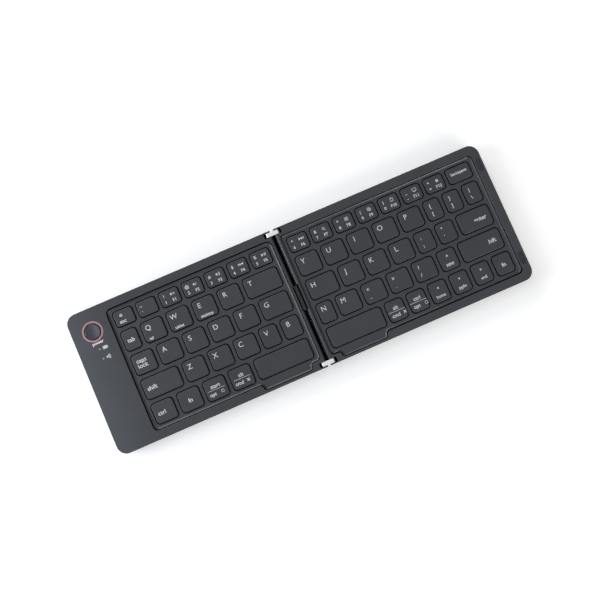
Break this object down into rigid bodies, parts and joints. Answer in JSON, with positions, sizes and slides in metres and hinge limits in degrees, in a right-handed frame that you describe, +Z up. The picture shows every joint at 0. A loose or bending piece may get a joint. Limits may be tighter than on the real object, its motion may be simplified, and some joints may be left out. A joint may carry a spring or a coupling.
{
  "type": "folding keyboard",
  "caption": "Slim two-part folding keyboard that lies flat when open, with low square keys, a ring-lit power button and a two-pin fold in the middle.",
  "frame": {"origin": "on the ground under the middle of the fold, halfway from front to rear, with the keyboard open", "axes": "+X to the right along the keyboard's length, +Y to the rear, +Z up"},
  "size_m": [0.3046, 0.1006, 0.008],
  "materials": {
    "case": "dark grey, fine moulded texture",
    "frame": "dark grey, fine texture",
    "key": "dark grey, satin, white printed signs",
    "board": "green solder resist",
    "dome": "pale translucent silicone",
    "magnet": "nickel plated",
    "steel": "bright",
    "foot": "matt black",
    "cell": "silver grey foil pouch",
    "ring": "frosted light guide, glowing pale red",
    "light": "frosted light guide",
    "button": "glossy near-black",
    "link": "polished",
    "spine": "dark grey",
    "ribbon": "amber film"
  },
  "bodies": {
    "left_half": {"left_top_cover": "case", "left_bottom_cover": "case", "left_key_frame": "frame", "left_circuit_board": "board", "left_dome_sheet": "dome", "battery": "cell", "button_ring": "ring", "status_lights": "light", "charging_port": "steel", "left_magnets": "magnet", "left_screws": "steel", "left_feet": "foot"},
    "right_half": {"right_top_cover": "case", "right_bottom_cover": "case", "right_key_frame": "frame", "right_circuit_board": "board", "right_dome_sheet": "dome", "right_magnets": "magnet", "right_bumpers": "foot", "right_screws": "steel", "right_feet": "foot"},
    "hinge_spine": {"hinge_links": "link", "hinge_pins": "steel", "spine_cover": "spine", "ribbon_cable": "ribbon"},
    "power_button": {"power_button": "button"},
    "key_q": {"key_q": "key"},
    "key_w": {"key_w": "key"},
    "key_e": {"key_e": "key"},
    "key_r": {"key_r": "key"},
    "key_t": {"key_t": "key"},
    "key_a": {"key_a": "key"},
    "key_s": {"key_s": "key"},
    "key_d": {"key_d": "key"},
    "key_f": {"key_f": "key"},
    "key_g": {"key_g": "key"},
    "key_z": {"key_z": "key"},
    "key_x": {"key_x": "key"},
    "key_c": {"key_c": "key"},
    "key_v": {"key_v": "key"},
    "key_b": {"key_b": "key"},
    "number_keys_left": {"number_keys_left": "key"},
    "modifier_keys_left": {"modifier_keys_left": "key"},
    "space_key_left": {"space_key_left": "key"},
    "key_y": {"key_y": "key"},
    "key_u": {"key_u": "key"},
    "key_i": {"key_i": "key"},
    "key_o": {"key_o": "key"},
    "key_p": {"key_p": "key"},
    "key_h": {"key_h": "key"},
    "key_j": {"key_j": "key"},
    "key_k": {"key_k": "key"},
    "key_l": {"key_l": "key"},
    "key_n": {"key_n": "key"},
    "key_m": {"key_m": "key"},
    "number_keys_right": {"number_keys_right": "key"},
    "punctuation_keys": {"punctuation_keys": "key"},
    "enter_key": {"enter_key": "key"},
    "modifier_keys_right": {"modifier_keys_right": "key"},
    "space_key_right": {"space_key_right": "key"}
  },
  "joints": [
    {"name": "spine_fold", "type": "hinge", "parent": "left_half", "child": "hinge_spine", "pos_m": [-0.00295, 0, 0.00515], "axis": [0, -1, 0], "range_deg": [0, 90]},
    {"name": "right_fold", "type": "hinge", "parent": "hinge_spine", "child": "right_half", "pos_m": [0.00295, 0, 0.00515], "axis": [0, -1, 0], "range_deg": [0, 90]},
    {"name": "power_press", "type": "slide", "parent": "left_half", "child": "power_button", "axis": [0, 0, -1], "range_m": [0, 0.0004], "stiffness_N_per_m": 2000},
    {"name": "key_q_press", "type": "slide", "parent": "left_half", "child": "key_q", "axis": [0, 0, -1], "range_m": [0, 0.0012], "stiffness_N_per_m": 450},
    {"name": "key_w_press", "type": "slide", "parent": "left_half", "child": "key_w", "axis": [0, 0, -1], "range_m": [0, 0.0012], "stiffness_N_per_m": 450},
    {"name": "key_e_press", "type": "slide", "parent": "left_half", "child": "key_e", "axis": [0, 0, -1], "range_m": [0, 0.0012], "stiffness_N_per_m": 450},
    {"name": "key_r_press", "type": "slide", "parent": "left_half", "child": "key_r", "axis": [0, 0, -1], "range_m": [0, 0.0012], "stiffness_N_per_m": 450},
    {"name": "key_t_press", "type": "slide", "parent": "left_half", "child": "key_t", "axis": [0, 0, -1], "range_m": [0, 0.0012], "stiffness_N_per_m": 450},
    {"name": "key_a_press", "type": "slide", "parent": "left_half", "child": "key_a", "axis": [0, 0, -1], "range_m": [0, 0.0012], "stiffness_N_per_m": 450},
    {"name": "key_s_press", "type": "slide", "parent": "left_half", "child": "key_s", "axis": [0, 0, -1], "range_m": [0, 0.0012], "stiffness_N_per_m": 450},
    {"name": "key_d_press", "type": "slide", "parent": "left_half", "child": "key_d", "axis": [0, 0, -1], "range_m": [0, 0.0012], "stiffness_N_per_m": 450},
    {"name": "key_f_press", "type": "slide", "parent": "left_half", "child": "key_f", "axis": [0, 0, -1], "range_m": [0, 0.0012], "stiffness_N_per_m": 450},
    {"name": "key_g_press", "type": "slide", "parent": "left_half", "child": "key_g", "axis": [0, 0, -1], "range_m": [0, 0.0012], "stiffness_N_per_m": 450},
    {"name": "key_z_press", "type": "slide", "parent": "left_half", "child": "key_z", "axis": [0, 0, -1], "range_m": [0, 0.0012], "stiffness_N_per_m": 450},
    {"name": "key_x_press", "type": "slide", "parent": "left_half", "child": "key_x", "axis": [0, 0, -1], "range_m": [0, 0.0012], "stiffness_N_per_m": 450},
    {"name": "key_c_press", "type": "slide", "parent": "left_half", "child": "key_c", "axis": [0, 0, -1], "range_m": [0, 0.0012], "stiffness_N_per_m": 450},
    {"name": "key_v_press", "type": "slide", "parent": "left_half", "child": "key_v", "axis": [0, 0, -1], "range_m": [0, 0.0012], "stiffness_N_per_m": 450},
    {"name": "key_b_press", "type": "slide", "parent": "left_half", "child": "key_b", "axis": [0, 0, -1], "range_m": [0, 0.0012], "stiffness_N_per_m": 450},
    {"name": "number_keys_left_press", "type": "slide", "parent": "left_half", "child": "number_keys_left", "axis": [0, 0, -1], "range_m": [0, 0.0012], "stiffness_N_per_m": 900},
    {"name": "modifier_keys_left_press", "type": "slide", "parent": "left_half", "child": "modifier_keys_left", "axis": [0, 0, -1], "range_m": [0, 0.0012], "stiffness_N_per_m": 900},
    {"name": "space_key_left_press", "type": "slide", "parent": "left_half", "child": "space_key_left", "axis": [0, 0, -1], "range_m": [0, 0.0012], "stiffness_N_per_m": 450},
    {"name": "key_y_press", "type": "slide", "parent": "right_half", "child": "key_y", "axis": [0, 0, -1], "range_m": [0, 0.0012], "stiffness_N_per_m": 450},
    {"name": "key_u_press", "type": "slide", "parent": "right_half", "child": "key_u", "axis": [0, 0, -1], "range_m": [0, 0.0012], "stiffness_N_per_m": 450},
    {"name": "key_i_press", "type": "slide", "parent": "right_half", "child": "key_i", "axis": [0, 0, -1], "range_m": [0, 0.0012], "stiffness_N_per_m": 450},
    {"name": "key_o_press", "type": "slide", "parent": "right_half", "child": "key_o", "axis": [0, 0, -1], "range_m": [0, 0.0012], "stiffness_N_per_m": 450},
    {"name": "key_p_press", "type": "slide", "parent": "right_half", "child": "key_p", "axis": [0, 0, -1], "range_m": [0, 0.0012], "stiffness_N_per_m": 450},
    {"name": "key_h_press", "type": "slide", "parent": "right_half", "child": "key_h", "axis": [0, 0, -1], "range_m": [0, 0.0012], "stiffness_N_per_m": 450},
    {"name": "key_j_press", "type": "slide", "parent": "right_half", "child": "key_j", "axis": [0, 0, -1], "range_m": [0, 0.0012], "stiffness_N_per_m": 450},
    {"name": "key_k_press", "type": "slide", "parent": "right_half", "child": "key_k", "axis": [0, 0, -1], "range_m": [0, 0.0012], "stiffness_N_per_m": 450},
    {"name": "key_l_press", "type": "slide", "parent": "right_half", "child": "key_l", "axis": [0, 0, -1], "range_m": [0, 0.0012], "stiffness_N_per_m": 450},
    {"name": "key_n_press", "type": "slide", "parent": "right_half", "child": "key_n", "axis": [0, 0, -1], "range_m": [0, 0.0012], "stiffness_N_per_m": 450},
    {"name": "key_m_press", "type": "slide", "parent": "right_half", "child": "key_m", "axis": [0, 0, -1], "range_m": [0, 0.0012], "stiffness_N_per_m": 450},
    {"name": "number_keys_right_press", "type": "slide", "parent": "right_half", "child": "number_keys_right", "axis": [0, 0, -1], "range_m": [0, 0.0012], "stiffness_N_per_m": 900},
    {"name": "punctuation_keys_press", "type": "slide", "parent": "right_half", "child": "punctuation_keys", "axis": [0, 0, -1], "range_m": [0, 0.0012], "stiffness_N_per_m": 900},
    {"name": "enter_key_press", "type": "slide", "parent": "right_half", "child": "enter_key", "axis": [0, 0, -1], "range_m": [0, 0.0012], "stiffness_N_per_m": 450},
    {"name": "modifier_keys_right_press", "type": "slide", "parent": "right_half", "child": "modifier_keys_right", "axis": [0, 0, -1], "range_m": [0, 0.0012], "stiffness_N_per_m": 900},
    {"name": "space_key_right_press", "type": "slide", "parent": "right_half", "child": "space_key_right", "axis": [0, 0, -1], "range_m": [0, 0.0012], "stiffness_N_per_m": 450}
  ]
}
